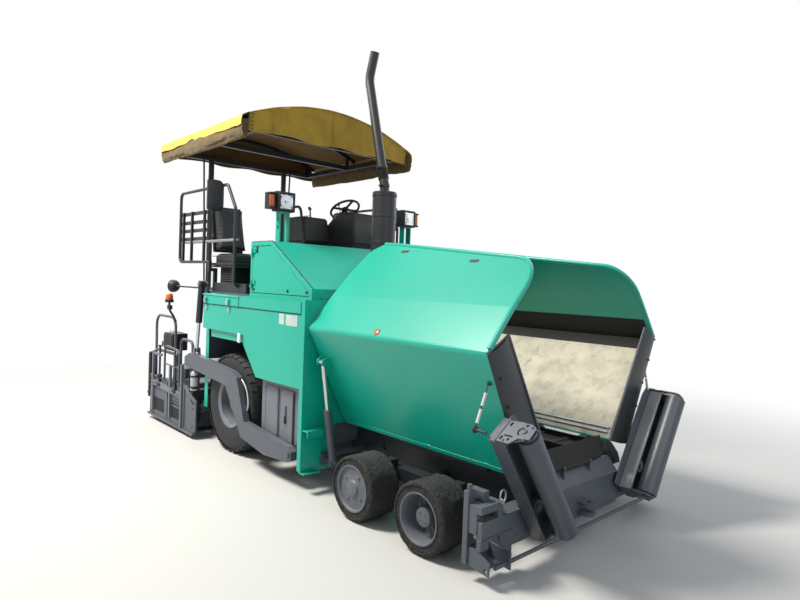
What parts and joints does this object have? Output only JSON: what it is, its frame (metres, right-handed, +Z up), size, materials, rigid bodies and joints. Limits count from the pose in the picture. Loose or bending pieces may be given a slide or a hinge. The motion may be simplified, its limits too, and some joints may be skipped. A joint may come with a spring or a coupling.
{
  "type": "asphalt paver",
  "caption": "Wheeled asphalt paver with a folding hopper and push rollers in front, a canvas canopy over the operator stand and an extending screed behind.",
  "frame": {"origin": "on the ground under the middle of the machine", "axes": "+X forward towards the hopper, +Y to the machine's left, +Z up"},
  "size_m": [6.2979, 2.8, 4.6211],
  "materials": {
    "paint_green": "gloss",
    "paint_grey": "satin",
    "paint_dark": "satin",
    "bare_steel": "worn",
    "worn_liner": "dusty",
    "tyre_rubber": "matte",
    "rubber_sheet": "matte",
    "canvas": "matte",
    "seat_vinyl": "satin",
    "black_plastic": "matte",
    "chromed_rod": "polished",
    "cast_drive": "painted"
  },
  "bodies": {
    "tractor": {"chassis_frame": "paint_grey", "outriggers": "paint_grey", "conveyor": "bare_steel", "front_crossmember": "paint_grey", "bulkhead": "paint_green", "body_sides": "paint_green", "hood": "paint_green", "engine_block": "cast_drive", "side_tanks": "paint_grey", "platform": "paint_grey", "console": "black_plastic", "headlamps": "black_plastic", "exhaust": "paint_dark", "canopy_frame": "paint_dark", "canopy_cover": "canvas", "awnings": "canvas", "wheel_drives": "cast_drive", "bogies": "paint_grey"},
    "screed": {"tow_arms": "paint_grey", "screed_main": "paint_grey"},
    "lift_barrels": {"lift_barrels": "paint_grey"},
    "lift_rods": {"lift_rods": "chromed_rod"},
    "front_apron": {"front_apron": "rubber_sheet"},
    "rear_wheel_right": {"rear_tyre_right": "tyre_rubber", "rear_rim_right": "paint_grey"},
    "knuckle_1_right": {"knuckle_1_right": "paint_grey"},
    "front_wheel_1_right": {"front_wheel_1_right": "tyre_rubber"},
    "knuckle_2_right": {"knuckle_2_right": "paint_grey"},
    "front_wheel_2_right": {"front_wheel_2_right": "tyre_rubber"},
    "wing_right": {"wing_skin_right": "paint_green", "wing_liner_right": "worn_liner"},
    "wing_barrel_right": {"wing_barrel_right": "paint_grey"},
    "wing_rod_right": {"wing_rod_right": "chromed_rod"},
    "roller_arm_right": {"roller_arm_right": "paint_grey"},
    "push_roller_right": {"push_roller_right": "paint_grey"},
    "auger_right": {"auger_right": "bare_steel"},
    "extension_right": {"extension_right": "paint_grey"},
    "lid_right": {"lid_right": "paint_green"},
    "hood_door_right": {"hood_door_right": "paint_green"},
    "seat_station_right": {"seat_carrier_right": "paint_dark", "seat_right": "seat_vinyl"},
    "rear_wheel_left": {"rear_tyre_left": "tyre_rubber", "rear_rim_left": "paint_grey"},
    "knuckle_1_left": {"knuckle_1_left": "paint_grey"},
    "front_wheel_1_left": {"front_wheel_1_left": "tyre_rubber"},
    "knuckle_2_left": {"knuckle_2_left": "paint_grey"},
    "front_wheel_2_left": {"front_wheel_2_left": "tyre_rubber"},
    "wing_left": {"wing_skin_left": "paint_green", "wing_liner_left": "worn_liner"},
    "wing_barrel_left": {"wing_barrel_left": "paint_grey"},
    "wing_rod_left": {"wing_rod_left": "chromed_rod"},
    "roller_arm_left": {"roller_arm_left": "paint_grey"},
    "push_roller_left": {"push_roller_left": "paint_grey"},
    "auger_left": {"auger_left": "bare_steel"},
    "extension_left": {"extension_left": "paint_grey"},
    "lid_left": {"lid_left": "paint_green"},
    "hood_door_left": {"hood_door_left": "paint_green"},
    "seat_station_left": {"seat_carrier_left": "paint_dark", "seat_left": "seat_vinyl"}
  },
  "joints": [
    {"name": "screed_lift", "type": "hinge", "parent": "tractor", "child": "screed", "pos_m": [0.525, 0, 0.318], "axis": [0, 1, 0], "range_deg": [-1, 8]},
    {"name": "lift_barrel_swing", "type": "hinge", "parent": "tractor", "child": "lift_barrels", "pos_m": [-1.509, 0, 1.85], "axis": [0, 1, 0], "range_deg": [-10.73, 1.52]},
    {"name": "lift_rod_stroke", "type": "slide", "parent": "lift_barrels", "child": "lift_rods", "axis": [-0.1139, 0, -0.9935], "range_m": [-0.2943, 0.0385]},
    {"name": "front_apron_fold", "type": "hinge", "parent": "tractor", "child": "front_apron", "pos_m": [2.773, 0, 0.566], "axis": [0, 1, 0], "range_deg": [0, 80]},
    {"name": "rear_wheel_right_spin", "type": "hinge", "parent": "tractor", "child": "rear_wheel_right", "pos_m": [-0.859, 0, 0.55], "axis": [0, 1, 0], "continuous": true},
    {"name": "steer_1_right", "type": "hinge", "parent": "tractor", "child": "knuckle_1_right", "pos_m": [2.261, -0.9, 0.27], "axis": [0, 0, 1], "range_deg": [-20, 20]},
    {"name": "front_wheel_1_right_spin", "type": "hinge", "parent": "knuckle_1_right", "child": "front_wheel_1_right", "pos_m": [2.261, 0, 0.27], "axis": [0, 1, 0], "continuous": true},
    {"name": "steer_2_right", "type": "hinge", "parent": "tractor", "child": "knuckle_2_right", "pos_m": [1.491, -0.9, 0.27], "axis": [0, 0, 1], "range_deg": [-20, 20]},
    {"name": "front_wheel_2_right_spin", "type": "hinge", "parent": "knuckle_2_right", "child": "front_wheel_2_right", "pos_m": [1.491, 0, 0.27], "axis": [0, 1, 0], "continuous": true},
    {"name": "wing_right_fold", "type": "hinge", "parent": "tractor", "child": "wing_right", "pos_m": [1.777, -0.48, 0.64], "axis": [1, 0, 0], "range_deg": [0, 38]},
    {"name": "wing_barrel_right_swing", "type": "hinge", "parent": "tractor", "child": "wing_barrel_right", "pos_m": [0.868, -0.98, 0.28], "axis": [1, 0, 0], "range_deg": [-0.2, 32.67]},
    {"name": "wing_rod_right_stroke", "type": "slide", "parent": "wing_barrel_right", "child": "wing_rod_right", "axis": [0, -0.1576, 0.9875], "range_m": [-0.397, 0.002]},
    {"name": "roller_arm_right_fold", "type": "hinge", "parent": "tractor", "child": "roller_arm_right", "pos_m": [2.905, -0.76, 0.455], "axis": [-1, 0, 0], "range_deg": [0, 124]},
    {"name": "push_roller_right_spin", "type": "hinge", "parent": "roller_arm_right", "child": "push_roller_right", "pos_m": [3.071, -0.73264, 0.47345], "axis": [0, -0.5592, 0.829], "continuous": true},
    {"name": "auger_right_spin", "type": "hinge", "parent": "tractor", "child": "auger_right", "pos_m": [-1.634, -0.6, 0.34], "axis": [0, 1, 0], "continuous": true},
    {"name": "extension_right_slide", "type": "slide", "parent": "screed", "child": "extension_right", "axis": [0, -1, 0], "range_m": [0, 1.15]},
    {"name": "lid_right_lift", "type": "hinge", "parent": "tractor", "child": "lid_right", "pos_m": [-0.859, -1.25, 1.742], "axis": [-1, 0, 0], "range_deg": [0, 75]},
    {"name": "hood_door_right_swing", "type": "hinge", "parent": "tractor", "child": "hood_door_right", "pos_m": [-0.427, -1.1625, 2.05], "axis": [0, 0, -1], "range_deg": [0, 100]},
    {"name": "seat_station_right_slide", "type": "slide", "parent": "tractor", "child": "seat_station_right", "axis": [0, -1, 0], "range_m": [0, 0.25]},
    {"name": "rear_wheel_left_spin", "type": "hinge", "parent": "tractor", "child": "rear_wheel_left", "pos_m": [-0.859, 0, 0.55], "axis": [0, 1, 0], "continuous": true},
    {"name": "steer_1_left", "type": "hinge", "parent": "tractor", "child": "knuckle_1_left", "pos_m": [2.261, 0.9, 0.27], "axis": [0, 0, 1], "range_deg": [-20, 20]},
    {"name": "front_wheel_1_left_spin", "type": "hinge", "parent": "knuckle_1_left", "child": "front_wheel_1_left", "pos_m": [2.261, 0, 0.27], "axis": [0, 1, 0], "continuous": true},
    {"name": "steer_2_left", "type": "hinge", "parent": "tractor", "child": "knuckle_2_left", "pos_m": [1.491, 0.9, 0.27], "axis": [0, 0, 1], "range_deg": [-20, 20]},
    {"name": "front_wheel_2_left_spin", "type": "hinge", "parent": "knuckle_2_left", "child": "front_wheel_2_left", "pos_m": [1.491, 0, 0.27], "axis": [0, 1, 0], "continuous": true},
    {"name": "wing_left_fold", "type": "hinge", "parent": "tractor", "child": "wing_left", "pos_m": [1.777, 0.48, 0.64], "axis": [-1, 0, 0], "range_deg": [0, 38]},
    {"name": "wing_barrel_left_swing", "type": "hinge", "parent": "tractor", "child": "wing_barrel_left", "pos_m": [0.868, 0.98, 0.28], "axis": [-1, 0, 0], "range_deg": [-0.2, 32.67]},
    {"name": "wing_rod_left_stroke", "type": "slide", "parent": "wing_barrel_left", "child": "wing_rod_left", "axis": [0, 0.1576, 0.9875], "range_m": [-0.397, 0.002]},
    {"name": "roller_arm_left_fold", "type": "hinge", "parent": "tractor", "child": "roller_arm_left", "pos_m": [2.905, 0.76, 0.455], "axis": [1, 0, 0], "range_deg": [0, 124]},
    {"name": "push_roller_left_spin", "type": "hinge", "parent": "roller_arm_left", "child": "push_roller_left", "pos_m": [3.071, 0.73264, 0.47345], "axis": [0, 0.5592, 0.829], "continuous": true},
    {"name": "auger_left_spin", "type": "hinge", "parent": "tractor", "child": "auger_left", "pos_m": [-1.634, 0.6, 0.34], "axis": [0, 1, 0], "continuous": true},
    {"name": "extension_left_slide", "type": "slide", "parent": "screed", "child": "extension_left", "axis": [0, 1, 0], "range_m": [0, 1.15]},
    {"name": "lid_left_lift", "type": "hinge", "parent": "tractor", "child": "lid_left", "pos_m": [-0.859, 1.25, 1.742], "axis": [1, 0, 0], "range_deg": [0, 75]},
    {"name": "hood_door_left_swing", "type": "hinge", "parent": "tractor", "child": "hood_door_left", "pos_m": [-0.427, 1.1625, 2.05], "axis": [0, 0, 1], "range_deg": [0, 100]},
    {"name": "seat_station_left_slide", "type": "slide", "parent": "tractor", "child": "seat_station_left", "axis": [0, 1, 0], "range_m": [0, 0.25]}
  ],
  "couplings": [
    {"joint": "lift_barrel_swing", "follows": "screed_lift", "ratio": -1.3161},
    {"joint": "lift_rod_stroke", "follows": "screed_lift", "m_per_rad": -2.0932},
    {"joint": "steer_2_right", "follows": "steer_1_right", "ratio": 1},
    {"joint": "wing_barrel_right_swing", "follows": "wing_right_fold", "ratio": 0.85448},
    {"joint": "wing_rod_right_stroke", "follows": "wing_right_fold", "m_per_rad": -0.59554},
    {"joint": "steer_1_left", "follows": "steer_1_right", "ratio": 1},
    {"joint": "steer_2_left", "follows": "steer_1_right", "ratio": 1},
    {"joint": "wing_barrel_left_swing", "follows": "wing_left_fold", "ratio": 0.85448},
    {"joint": "wing_rod_left_stroke", "follows": "wing_left_fold", "m_per_rad": -0.59554}
  ]
}
